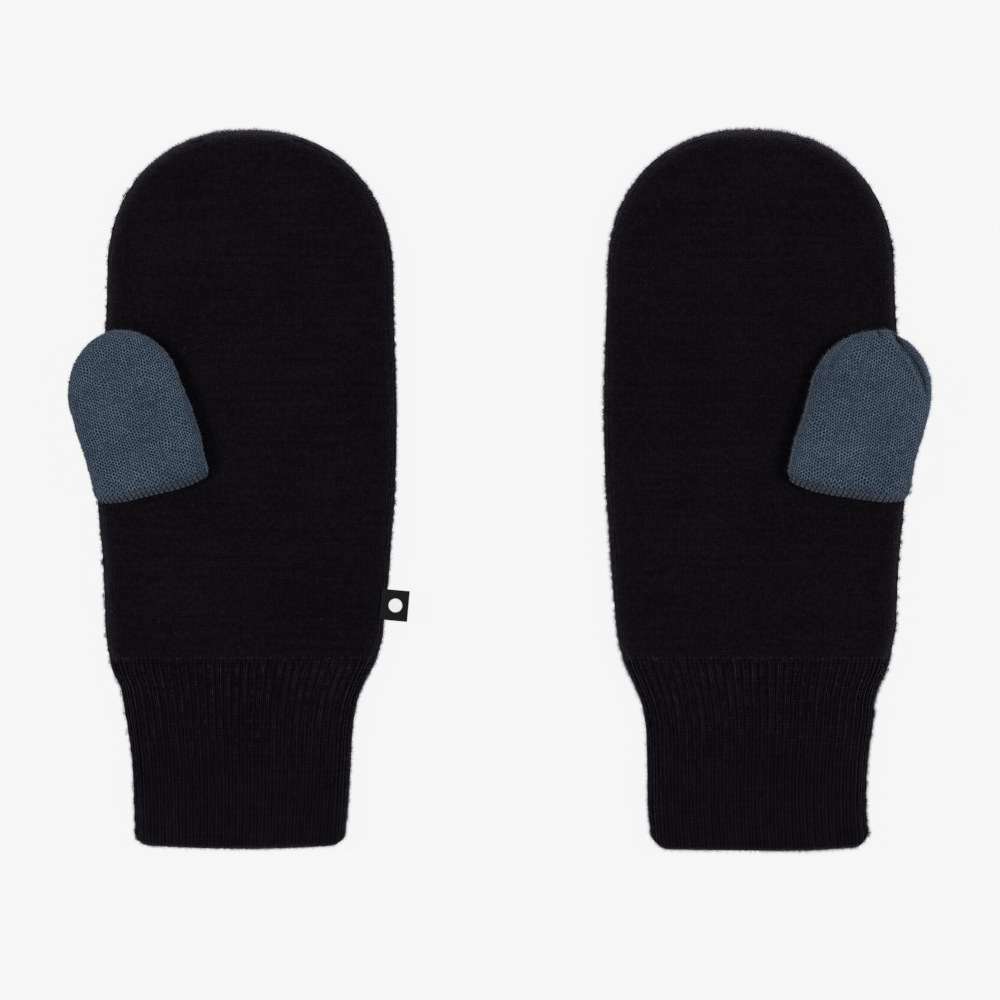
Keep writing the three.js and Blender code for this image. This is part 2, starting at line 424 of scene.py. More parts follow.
def mitten_tube(m):
    """The hand and cuff as one tube."""
    flat = plan(
        m.finger_edge, m.thumb_edge, HEM_Y, TIP_BASE_Y, TIP_HEIGHT, m.tip_fullness, ROW, ACROSS, EDGE_ROUND
    )
    x, y, gap = flat.x, flat.y, flat.gap
    half = lying_half(y)
    middle = half + LIFT
    crown = CROWN * ramp(gap, 4, 34) * ramp(y, -75, -20)
    settled = WAVES * ramp(gap, 2, 18) * waves(x, y, m.seed)
    palm_z = middle + half * rounded(gap, EDGE_ROUND) + crown + settled
    back_z = middle - half * rounded(gap, EDGE_ROUND)
    near = np.clip(gap, 0, m.hem_corner)
    corner = m.hem_corner - np.sqrt(m.hem_corner**2 - (m.hem_corner - near) ** 2)
    y = y + curve_through(m.hem, x) * (1 - ramp(y, HEM_Y, HEM_Y + 34))
    y = y + corner * (1 - ramp(y, HEM_Y, HEM_Y + 12))
    faces = [np.stack([x, y, z], 2) for z in (palm_z, back_z)]
    out = [np.dstack([flat.lean, sign * rounded(gap, EDGE_ROUND)]) for sign in (1, -1)]
    return Tube(*faces, *out, flat.knit)


def row_at(y):
    """The row of the hand's grid that lies at y, below the fingertips' curve."""
    return (y - HEM_Y) / ((TIP_BASE_Y - HEM_Y) / round((TIP_BASE_Y - HEM_Y) / ROW))


def joint(name):
    return next(j for j in frame["record"]["behaviour"]["joints"] if j["name"] == name)


def thumb_frame(m):
    """The thumb's base point and its own directions, outwards and to its tip, from its joint."""
    hinge = joint(f"{m.name}_thumb_lift")
    base = np.array(hinge["pos_m"]) / MM
    axis = np.array(hinge["axis"])
    return base, m.side * axis, np.array([-axis[1], axis[0], 0.0])


def thumb_place(m, u, v):
    """Where a point u out and v along the thumb is on the mitten."""
    base, out, up = thumb_frame(m)
    return m.side * (base[0] + u * out[0] + v * up[0]) - HAND_CENTRE, base[1] + u * out[1] + v * up[1]


def thumb_tube(m):
    """The thumb lying on the palm, as a tube from its base to its tip."""
    dome_base = m.thumb_inner[-1][0]
    flat = plan(
        m.thumb_inner, m.thumb_outer, THUMB_MOUTH, dome_base, m.thumb_top - dome_base, m.thumb_fullness,
        THUMB_ROW, 28, THUMB_ROUND,
    )
    u, v, gap = flat.x, flat.y, flat.gap
    from_mouth = v - THUMB_MOUTH
    root = 6 * ramp(gap, 0, 8) * np.clip(1 - v / dome_base, 0, 1)
    v = v + m.thumb_peak * np.exp(-(((u - 3.5) / 3) ** 2)) * ramp(v, dome_base + 12, m.thumb_top)
    v = v - THUMB_SAG * (1 - 1.8 * (u / 20) ** 4) * (1 - ramp(from_mouth, 0, 8))
    _, across, along = thumb_frame(m)
    turned = np.array([[m.side * across[0], across[1]], [m.side * along[0], along[1]]])
    faces, outs = [], []
    for up in (True, False):
        x, y = thumb_place(m, u, v if up else v + root)
        palm = palm_height(m, x, y) - 0.6
        own = THUMB_FLOOR + THUMB_HALF - 4.0 * ramp(x, 42, 62)
        lean = flat.lean.copy()
        if up:
            own = own + THUMB_HALF * rounded(gap, THUMB_ROUND) + 0.9 * ramp(gap, 3, 16)
            own = own + 0.2 * ramp(gap, 1, 8) * waves(x, y, m.seed + 1, 30, 9)
            rise = rounded(from_mouth, 6)
            lean[..., 1] -= np.clip(1 - from_mouth / 6, 0, 1)
        else:
            own = own - THUMB_HALF * rounded(gap, THUMB_ROUND)
            rise = ramp(from_mouth, 0, 9)
        faces.append(np.stack([x, y, palm + (own - palm) * rise], 2))
        steep = np.maximum(rounded(gap, THUMB_ROUND) * rise, 0.05)
        outs.append(np.dstack([lean @ turned, steep if up else -steep]))
    return Tube(*faces, *outs, flat.knit)


# ---- meshes


def place(points, side):
    """Mitten coordinates to the shared frame, in metres."""
    out = np.array(points, float)
    out[..., 0] = side * (HAND_CENTRE + out[..., 0])
    return out * MM


def add_object(name, data):
    obj = bpy.data.objects.new(name, data)
    scene.collection.objects.link(obj)
    return obj


def make_mesh(name, points, faces, uv=None, caps=(), rim=None):
    """A smooth mesh. caps are rings of vertex numbers to fill, and rim is the faces left flat."""
    mesh = bpy.data.meshes.new(name)
    corners = np.concatenate([faces.ravel(), *[np.asarray(c) for c in caps]])
    sizes = np.array([faces.shape[1]] * len(faces) + [len(c) for c in caps])
    used, corners = np.unique(corners, return_inverse=True)
    mesh.vertices.add(len(used))
    mesh.vertices.foreach_set("co", points[used].astype(np.float32).ravel())
    mesh.loops.add(len(corners))
    mesh.loops.foreach_set("vertex_index", corners.astype(np.int32))
    mesh.polygons.add(len(sizes))
    mesh.polygons.foreach_set("loop_start", (np.cumsum(sizes) - sizes).astype(np.int32))
    smooth = np.ones(len(sizes), bool)
    if rim is not None:
        smooth[rim] = False
    mesh.polygons.foreach_set("use_smooth", smooth)
    if uv is not None:
        layer = mesh.uv_layers.new(name="stitches")
        uv = np.concatenate([uv.reshape(-1, 2), np.zeros((len(corners) - faces.size, 2))])
        layer.data.foreach_set("uv", uv.astype(np.float32).ravel())
    mesh.update(calc_edges=True)
    mesh.validate()
    return add_object(name, mesh)


def between(low, high):
    """The faces from each ring of vertex numbers to the one above it."""
    return np.stack([low, np.roll(low, -1, 1), np.roll(high, -1, 1), high], 2).reshape(-1, 4)


def corners_of(grid):
    """The stitch coordinates at the corners of those faces."""
    return np.stack([grid[:-1, :-1], grid[:-1, 1:], grid[1:, 1:], grid[1:, :-1]], 2).reshape(-1, 4, 2)


def ring_mesh(name, rings, stitches, side, zipped=(False, False), loop=False, capped=False, rim=None):
    """A mesh from a stack of rings, with stitches as its UVs.

    zipped sews the first or last ring flat, loop joins the last ring to the first, capped fills
    the first and last, and rim is the ring whose step to the next turns over a mouth's edge.
    """
    rows, around = rings.shape[:2]
    rings = rings.copy()
    index = np.arange(rows * around).reshape(rows, around)
    half = around // 2
    for sewn, end in zip(zipped, (0, -1)):
        if sewn:
            index[end, half + 1:] = index[end, 1:half][::-1]
            rings[end, 1:half] = (rings[end, 1:half] + rings[end, :half:-1]) / 2
    low = index if loop else index[:-1]
    high = np.roll(index, -1, axis=0) if loop else index[1:]
    quads = between(low, high)
    if stitches.shape[1] == around:
        stitches = np.concatenate([stitches, stitches[:, :1]], axis=1)
    uv = corners_of(stitches)
    caps = [index[0][::-1], index[-1]] if capped else []
    if side < 0:
        quads, uv, caps = quads[:, ::-1], uv[:, ::-1], [c[::-1] for c in caps]
    edge = None if rim is None else slice(rim * around, (rim + 1) * around)
    return make_mesh(name, place(rings.reshape(-1, 3), side), quads, uv, caps, edge)


def counted(across, along):
    """Stitch coordinates of a grid whose columns and rows are counted one by one."""
    return np.stack(np.meshgrid(across, along), 2)


def cord(m, name, path, radius, loop=False):
    """A yarn of the given radius along a path that lies nearly level."""
    path = np.asarray(path, float)
    if loop:
        ahead = np.roll(path, -1, 0) - np.roll(path, 1, 0)
    else:
        ahead = np.gradient(path, axis=0)
    ahead = unit(ahead)
    across = unit(np.cross(ahead, [0, 0, 1.0]))
    over = np.cross(across, ahead)
    angle = np.arange(CORD_SIDES) / CORD_SIDES * TAU
    rings = path[:, None] + radius * (
        np.cos(angle)[None, :, None] * across[:, None] + np.sin(angle)[None, :, None] * over[:, None]
    )
    run = np.arange(len(path) + loop) * np.linalg.norm(path[1] - path[0])
    turn = np.arange(CORD_SIDES + 1) / CORD_SIDES
    return ring_mesh(f"{m.name}_{name}", rings, counted(turn, run), m.side, loop=loop, capped=not loop)


# ---- the pieces of one mitten


def stocking(u, v):
    """The relief of stocking stitch, 0 to 1: u counts wales and v counts courses.

    Each stitch is a V whose legs lie side by side with the next wale's, with a small hole at the
    foot of each V and another where two wales' legs meet.
    """
    middle = np.sin(math.pi * u) ** 2
    turn = 0.5 + 0.5 * np.cos(TAU * v)
    holes = middle**HOLE * turn**HOLE_LONG + (1 - middle) ** HOLE * (1 - turn) ** HOLE_LONG
    lean = 2 * np.abs(u - np.floor(u) - 0.5)
    legs = np.abs(np.sin(math.pi * (v - SLANT * lean)))
    return (1 - holes) * (1 - LEGS + LEGS * legs)


def pressed(rings, line, depth, left, right):
    """Presses a fold into the upper face along a line of (x, y) points, as wide as given to each side."""
    path = evenly(line, max(40, 4 * len(line)))
    ahead = np.gradient(path, axis=0)
    half = rings.shape[1] // 2
    flat = rings[:, :half, :2].reshape(-1, 2)
    level = np.zeros((len(flat), 1))
    which, off = nearest(np.hstack([flat, level]), np.column_stack([path, 0 * path[:, 0]]))
    aside = flat - path[which]
    to_left = ahead[which, 0] * aside[:, 1] - ahead[which, 1] * aside[:, 0] > 0
    share = off / np.where(to_left, left, right)
    fade = np.sin(math.pi * np.clip(which / (len(path) - 1), 0.04, 0.96)) ** 0.5
    fold = 0.3 * np.exp(-((share - 1.9) ** 2)) - np.exp(-(share**2))
    out = rings.copy()
    out[:, :half, 2] += (depth * fade * fold).reshape(out.shape[0], half)
    return out


HAND_COLUMNS = 256  # of the mesh, on one face
HAND_ROW = 2.0
RIM_ROW = 0.04  # a narrow first row keeps the shading even up to a mouth's edge
RIB_STEPS = 8  # mesh columns for each rib
THUMB_COLUMNS = 150
THUMB_ROWS = 4  # mesh rows for each course


def closed_knit(m, name, tube, rows, rings, height, stitches, mouth, thick, knit):
    """A knit raised on its rings and thick through, closed at its tip and open at its mouth, and the
    rings of its outside. mouth is its inside's last row and how many rows that has."""
    columns = rings.shape[1] // 2
    height[-1] = 0
    outer = rings + tube.normals(rows, columns) * height[..., None]
    inner_rows = np.linspace(tube.rows - 0.8, *mouth)
    inner = tube.inset(inner_rows, columns, thick)
    stitches = np.concatenate([tube.stitches(inner_rows, columns, *knit), stitches])
    stack = np.concatenate([inner, outer])
    rim = len(inner) - 1
    return ring_mesh(f"{m.name}_{name}", stack, stitches, m.side, zipped=(True, True), rim=rim), outer


def hand_piece(m, tube, seam):
    """The hand's knit, open at the wrist, with its seam pressed in. Its mesh has the ridges of the
    wales, and its material draws the stitches."""
    top, wrist = tube.rows, row_at(WRIST_Y)
    rows = np.linspace(wrist, top, round((top - wrist) * ROW / HAND_ROW) + 1)
    rows = np.insert(rows, 1, rows[0] + RIM_ROW)
    rings = pressed(tube.rings(rows, HAND_COLUMNS), seam, 0.1, 0.5, 0.5)
    knit = (WALE, COURSE, m.seed)
    stitches = tube.stitches(rows, HAND_COLUMNS, *knit)
    ridge = np.abs(np.sin(math.pi * stitches[..., 0])) - 0.5
    height = HAND_RELIEF * ramp(rows, rows[0], rows[0] + 1)[:, None] * ridge
    return closed_knit(m, "hand_knit", tube, rows, rings, height, stitches, (wrist, 20), SHELL, knit)


def rib_profile(rib):
    """The relief across one-and-one rib, 0 to 1, with a deep groove beside a shallow one in each rib."""
    groove = np.abs(rib - np.floor(rib) - 0.5)
    return 1 - np.exp(-((groove / 0.14) ** 2)) - 0.5 * np.exp(-(((0.5 - groove) / 0.12) ** 2))


def cuff_piece(m, tube):
    """The ribbed cuff, folded over at its hem and carried up inside to the wrist."""
    count = RIBS * RIB_STEPS
    rows = np.linspace(row_at(WRIST_Y), row_at(HEM_Y + HEM_FOLD), 115)
    rows = np.insert(rows, 1, rows[0] - RIM_ROW)
    rings = tube.rings(rows, count)
    normal = tube.normals(rows, count)
    rib = np.arange(2 * count + 1) / RIB_STEPS
    wave = rib_profile(rib[:-1])
    start = ramp(-rows, -rows[0], 0.8 - rows[0])
    drawn = 0.4 + 0.45 * ramp(rows, 2, rows[0] - 4)
    stitch = stocking(rib[:-1] * 2 + 0.5, (rows * ROW / COURSE)[:, None])
    uneven = 1 + 0.3 * waves(rib[None, :-1] * 4, rows[:, None] * ROW / 2, m.seed + 7, 20, 6, 12)
    height = drawn[:, None] * uneven * (wave[None] - 0.6) + 0.12 * (stitch - 0.5)
    height = height * start[:, None]
    outer = rings + normal * height[..., None]
    turn = np.linspace(0, math.pi, 9)[1:]
    down = np.array([0, -1.0, 0])
    lip = np.stack([
        outer[-1] + down * HEM_FOLD * math.sin(a) - normal[-1] * HEM_FOLD * (1 - math.cos(a)) for a in turn
    ])
    in_rows = np.linspace(row_at(HEM_Y + HEM_FOLD), row_at(WRIST_Y), 24)[1:]
    deep = CUFF_DEEP + (2 * HEM_FOLD - CUFF_DEEP) * (1 - ramp(in_rows, in_rows[0], in_rows[0] + 6))
    inside = tube.inset(in_rows, count, deep[:, None, None])
    inside = inside + 0.25 * tube.normals(in_rows, count) * (wave[None, :, None] - 0.5)
    stack = np.concatenate([outer, lip, inside])
    fold_rows = rows[-1] - turn * HEM_FOLD / ROW
    course = np.concatenate([rows, fold_rows, fold_rows[-1] + rows[-1] - in_rows]) * ROW / COURSE
    course = np.insert(course, 0, 2 * course[0] - course[1])
    piece = ring_mesh(
        f"{m.name}_cuff_rib", stack[::-1], counted(rib, course)[::-1], m.side, loop=True, rim=len(stack) - 1
    )
    return piece, np.concatenate([outer, lip[:5]])


def lining_piece(m, name, tube, first_row, depth, thick, count, row, seed):
    """A soft lining, depth in from a tube's surface and thick through."""
    rows = np.linspace(first_row, tube.rows - (depth + thick) / row, 60)
    outer = tube.inset(rows, count, depth)
    inner = tube.inset(rows, count, depth + thick)
    pile = np.random.default_rng(seed).uniform(-0.12, 0.12, inner.shape[:2] + (1,))
    inner = inner + pile * tube.normals(rows, count)
    stack = np.concatenate([inner[::-1], outer])
    grid = counted(np.arange(2 * count + 1), np.arange(len(stack)))
    return ring_mesh(f"{m.name}_{name}", stack, grid, m.side, zipped=(True, True))


def thumb_piece(m, tube):
    """The thumb's knit, with every stitch in the mesh and a looser row where it joins the hand."""
    top = tube.rows
    rows = np.linspace(0, top, round(top * THUMB_ROW / THUMB_COURSE * THUMB_ROWS) + 1)
    rings = tube.rings(rows, THUMB_COLUMNS)
    for line, depth, left, right in m.creases:
        rings = pressed(rings, line, depth, left, right)
    knit = (THUMB_WALE, THUMB_COURSE, m.seed + 5)
    stitches = tube.stitches(rows, THUMB_COLUMNS, *knit)
    loose = 0.5 * (1 - ramp(stitches[..., 1], *LOOSE))
    stitch = stocking(stitches[..., 0], stitches[..., 1])
    ridge = np.abs(np.sin(math.pi * stitches[..., 0]))
    height = THUMB_RELIEF * ((1 - loose) * stitch + loose * ridge - 0.5)
    return closed_knit(m, "thumb_knit", tube, rows, rings, height, stitches, (0, 22), THUMB_SHELL, knit)


def seam_line(tube):
    """The seam's route in plan: up the little-finger edge and round the tip, a little way in."""
    rows = np.linspace(row_at(WRIST_Y + 8), tube.rows, 90)
    edge = tube.rings(rows, 90)
    side, tip = edge[:, 0, :2], edge[-1, 1:70, :2]
    line = evenly(np.concatenate([side, tip]), 240)
    ahead = unit(np.gradient(line, axis=0))
    return line + SEAM_INSET * np.stack([ahead[:, 1], -ahead[:, 0]], 1)


def on_palm(line, surface):
    """A line of (x, y) points laid on the palm of a stack of rings."""
    palm = surface[:, : surface.shape[1] // 2].reshape(-1, 3)
    palm = palm[palm[:, 2] > 6]
    which, _ = nearest(np.column_stack([line, 0 * line[:, 0]]), palm * [1, 1, 0])
    z = palm[which, 2]
    smooth = np.convolve(np.pad(z, 4, mode="edge"), np.ones(9) / 9, mode="valid")
    return np.column_stack([line, smooth])


def side_seam_piece(m, tube, surface):
    line = evenly(seam_line(tube), 1200)
    path = on_palm(line, surface)
    run = np.linspace(0, len(path) / 2.2, len(path))
    path[:, 2] += 0.08 * np.sin(TAU * run / 2.2) - 0.02
    return cord(m, "side_seam_yarn", path, SEAM_YARN)


def wrist_seam_piece(m, tube):
    """An overcast seam round the inside of the wrist."""
    count = 300
    ring = tube.inset([row_at(WRIST_Y - 1.5), row_at(WRIST_Y - 0.5)], count, 3.0)[0]
    ring = evenly(np.concatenate([ring, ring[:1]]), 1400)[:-1]
    stitch = np.arange(len(ring)) / len(ring) * 150
    ring[:, 1] += 0.7 * np.sin(TAU * stitch)
    ring[:, 2] += 0.1 * np.cos(TAU * stitch)
    return cord(m, "wrist_seam_yarn", ring, THICK_YARN, loop=True)


def thumb_seam_piece(m):
    """The hand's yarn that catches the loops along the thumb's base."""
    u = np.linspace(m.thumb_inner[0][1] + 0.8, m.thumb_outer[0][1] - 0.8, 520)
    stitch = u / 1.55
    x, y = thumb_place(m, u, THUMB_MOUTH - 0.1 - 0.25 * np.abs(np.sin(math.pi * stitch)))
    z = palm_height(m, x, y) + 0.1 + 0.15 * np.cos(TAU * stitch)
    return cord(m, "thumb_seam_yarn", np.column_stack([x, y, z]), THICK_YARN)


def fuzz_piece(m, name, surface, count, seed, longest, thick=1.0):
    """Fine short fibres that stand off the knit, each a thin closed spike."""
    chance = np.random.default_rng(seed)
    out, area = outward(surface)
    aside = np.roll(surface, -1, axis=1) - surface
    ahead = np.gradient(surface, axis=0)
    # a root lies anywhere around its grid point
    away = chance.uniform(-0.5, 0.5, (2, *surface.shape[:2], 1))
    points = (surface + away[0] * aside + away[1] * ahead).reshape(-1, 3)
    normals = (out if surface[-1, 0, 1] > surface[0, 0, 1] else -out).reshape(-1, 3)
    areas = area.ravel()
    # most of what shows is at the outline, so more fibres start where the surface turns down
    weight = areas * (0.004 + (1 - np.abs(normals[:, 2])) ** 2.2) * (normals[:, 2] > -0.35)
    weight *= np.maximum(1 + 0.5 * waves(points[:, 0], points[:, 1], seed, 60, 15), 0.2)
    # the label folds over the edge, so no fibre starts where it would reach through the tape
    from_label = np.linalg.norm(place(points, m.side) - label_frame()[0], axis=1)
    weight *= from_label > (LABEL_WIDTH / 2 + 2) * MM
    pick = chance.choice(len(points), count, p=weight / weight.sum())
    root, out = points[pick], normals[pick]
    lean = unit(out + 1.1 * unit(chance.normal(size=(count, 3))))
    length = longest * chance.beta(1.6, 3.6, count)[:, None]
    across = unit(np.cross(lean, [0.3, 0.2, 1.0]))
    over = np.cross(lean, across)
    scatter = chance.normal(0, 0.4, (count, 3))
    scatter -= out * (scatter * out).sum(axis=1, keepdims=True)
    foot = root - 0.1 * out + scatter
    base = [
        foot + thick * FIBRE * (math.cos(a) * across + math.sin(a) * over) for a in (0, TAU / 3, 2 * TAU / 3)
    ]
    vertices = np.stack([*base, foot + lean * length], 1)
    corners = np.array([(0, 2, 1), (0, 1, 3), (1, 2, 3), (2, 0, 3)])
    faces = (np.arange(count)[:, None, None] * 4 + corners[None]).reshape(-1, 3)
    vertices = place(vertices.reshape(-1, 3), m.side)
    return make_mesh(f"{m.name}_{name}", vertices, faces[:, ::-1] if m.side < 0 else faces)


# ---- the label


LABEL_WIDTH = 10.2
LABEL_REACH = 8.2  # from its hinge line out to its fold
LABEL_ROOT = 1.1  # what the seam holds
LABEL_TAPE = 0.32
LABEL_FOLD = 0.5  # half of what the folded tape measures through
DOT_RADIUS = 2.3


def label_frame():
    """The label's hinge point, and its directions out of the seam and along it."""
    hinge = joint("label_flap")
    along = np.array(hinge["axis"])
    return np.array(hinge["pos_m"]), np.array([along[1], -along[0], 0.0]), along


def label_place(out, along, z):
    """Label millimetres to metres in the shared frame."""
    hinge, out_way, along_way = label_frame()
    out, along, z = (np.asarray(a, float)[..., None] for a in (out, along, z))
    return hinge + MM * (out * out_way + along * along_way + z * np.array([0, 0, 1.0]))


def label_profile(depth):
    """The folded tape's profile, depth in from its outer face: (out, z) from end to end."""
    fold = LABEL_FOLD - depth
    straight = np.linspace(-LABEL_ROOT, LABEL_REACH - LABEL_FOLD, 24)
    turn = np.linspace(-math.pi / 2, math.pi / 2, 12)[1:-1]
    out = np.concatenate([straight, LABEL_REACH - LABEL_FOLD + fold * np.cos(turn), straight[::-1]])
    z = np.concatenate([0 * straight - fold, fold * np.sin(turn), 0 * straight + fold])
    return out, z


def label_lift(out, along):
    """How the tape bows up between its seam and its fold."""
    bow = 0.25 * np.sin(math.pi * np.clip(out / LABEL_REACH, 0, 1))
    return bow + 0.12 * (along / LABEL_WIDTH) * out / 4


def label_piece():
    """A woven tape folded in two, its ends caught in the side seam."""
    outer, inner = [np.array(label_profile(depth)) for depth in (0, LABEL_TAPE)]
    out, z = np.hstack([outer, inner[:, ::-1]])
    along = LABEL_WIDTH * (np.arange(29) / 28 - 0.5)
    grid_out, grid_along = np.meshgrid(out, along)
    grid_z = z[None] + label_lift(grid_out, grid_along)
    points = label_place(grid_out, grid_along, grid_z)
    index = np.arange(points.shape[0] * points.shape[1]).reshape(points.shape[:2])
    turned_over = [0, 3, 2, 1]
    quads = between(index[:-1], index[1:])[:, turned_over]
    run = np.concatenate([[0], np.cumsum(np.hypot(np.diff(out), np.diff(z)))])
    u = np.append(run, run[-1] + LABEL_TAPE)
    uv = corners_of(counted(u, along))[:, turned_over]
    # the tape's two cut edges are strips between its outer and inner faces
    half = len(out) // 2
    ends = []
    for row, turned in ((index[0], False), (index[-1], True)):
        strip = np.stack([row[: half - 1], row[1:half], row[::-1][1:half], row[::-1][: half - 1]], 1)
        ends.append(strip[:, ::-1] if turned else strip)
    ends = np.concatenate(ends)
    quads = np.concatenate([quads, ends])
    uv = np.concatenate([uv, np.zeros((len(ends), 4, 2))])
    return make_mesh("left_label_tape", points.reshape(-1, 3), quads, uv)


def dot_piece():
    """A plain round dot of raised thread on the label's face."""
    around, middle = 48, (3.9, 0.0)
    profile = [(1.0, -0.02), (1.0, 0.1), (0.97, 0.16), (0.9, 0.19), (0.6, 0.2), (0.3, 0.2), (0.05, 0.2)]
    angle = np.arange(around) / around * TAU
    rings = []
    for share, up in profile:
        out = middle[0] + DOT_RADIUS * share * np.cos(angle)
        along = middle[1] + DOT_RADIUS * share * np.sin(angle)
        rings.append(label_place(out, along, LABEL_FOLD + up + label_lift(out, along)))
    points = np.concatenate(rings)
    index = np.arange(len(points)).reshape(len(profile), around)
    quads = between(index[:-1], index[1:])
    flat = (points @ np.stack(label_frame()[1:], 1)) / MM
    return make_mesh("left_label_dot", points, quads, flat[quads], [index[0][::-1], index[-1]])


# ---- materials


class Graph:
    """A material's nodes, built from expressions."""

    def __init__(self, name):
        self.material = bpy.data.materials.new(name)
        self.material.use_nodes = True
        self.tree = self.material.node_tree
        self.shader = self.tree.nodes["Principled BSDF"]

    def node(self, kind, settings=None, **inputs):
        node = self.tree.nodes.new(kind)
        for key, value in (settings or {}).items():
            setattr(node, key, value)
        for key, value in inputs.items():
            self.feed(node.inputs[key.replace("_", " ")], value)
        return node

    def feed(self, socket, value):
        if isinstance(value, bpy.types.NodeSocket):
            self.tree.links.new(value, socket)
        else:
            socket.default_value = value

    def math(self, operation, *values):
        node = self.tree.nodes.new("ShaderNodeMath")
        node.operation = operation
        for socket, value in zip(node.inputs, values):
            self.feed(socket, value)
        return node.outputs[0]

    def times(self, a, b):
        return self.math("MULTIPLY", a, b)

    def scaled(self, value, by, plus):
        return self.math("MULTIPLY_ADD", value, by, plus)

    def power(self, value, by):
        return self.math("POWER", value, by)

    def blend(self, share, a, b):
        node = self.node("ShaderNodeMix", {"data_type": "RGBA"})
        for socket, value in ((node.inputs[0], share), (node.inputs[6], a), (node.inputs[7], b)):
            self.feed(socket, value)
        return node.outputs[2]

    def span(self, value, low, high, start=0.0, end=1.0):
        """start to end while value goes from low to high."""
        ends = {"From_Min": low, "From_Max": high, "To_Min": start, "To_Max": end}
        return self.node("ShaderNodeMapRange", Value=value, **ends).outputs[0]

    def arch(self, value, rate, wave="SINE"):
        """The size of a wave that turns rate radians for each 1 of value."""
        return self.math("ABSOLUTE", self.math(wave, self.times(value, rate)))

    def stitches(self):
        """The two stitch coordinates of a piece."""
        uv = self.node("ShaderNodeUVMap", {"uv_map": "stitches"}).outputs["UV"]
        split = self.node("ShaderNodeSeparateXYZ", Vector=uv)
        return split.outputs["X"], split.outputs["Y"]

    def finished(self, **inputs):
        """The material, with its shader's inputs fed."""
        for key, value in inputs.items():
            self.feed(self.shader.inputs[key.replace("_", " ")], value)
        return self.material

    def noise(self, scale, detail, roughness=0.5):
        where = self.node("ShaderNodeTexCoord").outputs["Object"]
        settings = {"Vector": where, "Scale": scale, "Detail": detail, "Roughness": roughness}
        return self.node("ShaderNodeTexNoise", **settings).outputs["Fac"]

    def bump(self, height, distance, strength=1.0, under=None):
        node = self.node("ShaderNodeBump", Height=height, Distance=distance, Strength=strength)
        if under is not None:
            self.feed(node.inputs["Normal"], under)
        return node.outputs["Normal"]


def stitch_nodes(g, u, v):
    """The holes and the legs of stocking stitch, as in stocking() but with fuller legs."""
    middle = g.power(g.math("SINE", g.times(u, math.pi)), 2.0)
    turn = g.scaled(g.math("COSINE", g.times(v, TAU)), 0.5, 0.5)
    foot = g.times(g.power(middle, HOLE), g.power(turn, HOLE_LONG))
    pair = g.power(g.math("SUBTRACT", 1.0, middle), HOLE)
    above = g.power(g.math("SUBTRACT", 1.0, turn), HOLE_LONG)
    holes = g.scaled(pair, above, foot)
    lean = g.math("ABSOLUTE", g.math("SUBTRACT", g.math("FRACT", u), 0.5))
    leg = g.arch(g.scaled(lean, -2 * SLANT, v), math.pi)
    return holes, g.power(leg, 0.7)


def stretched_noise(g, u, v, across, along):
    """Noise over the stitches, with so many blotches for each wale and each course."""
    u, v = g.times(u, across), g.times(v, along)
    where = g.node("ShaderNodeCombineXYZ", X=u, Y=v).outputs[0]
    return g.node("ShaderNodeTexNoise", Vector=where, Scale=1.0, Detail=2.0).outputs["Fac"]


def rib_groove_shade(g, rib, v, speck):
    """Painted shade in the grooves of one-and-one rib: broken dark lines, drawn tightest near the wrist."""
    deep = g.power(g.arch(rib, math.pi), 9.0)
    shallow = g.power(g.arch(rib, math.pi, "COSINE"), 9.0)
    wrist = (WRIST_Y - HEM_Y) / COURSE
    share = g.power(g.math("DIVIDE", v, wrist), 2.0)
    tight = g.scaled(share, 1.2, 0.65)
    broken = g.scaled(stretched_noise(g, rib, v, 1.7, 0.12), 2.8, -1.55)
    ragged = g.math("MAXIMUM", g.scaled(speck, 2.4, broken), 0.0)
    end = g.span(g.scaled(speck, 6.0, v), wrist, wrist + 3, 1.0, 0.0)
    lines = g.times(g.scaled(shallow, 0.9, g.times(deep, 1.5)), tight)
    return g.times(g.times(lines, ragged), end)


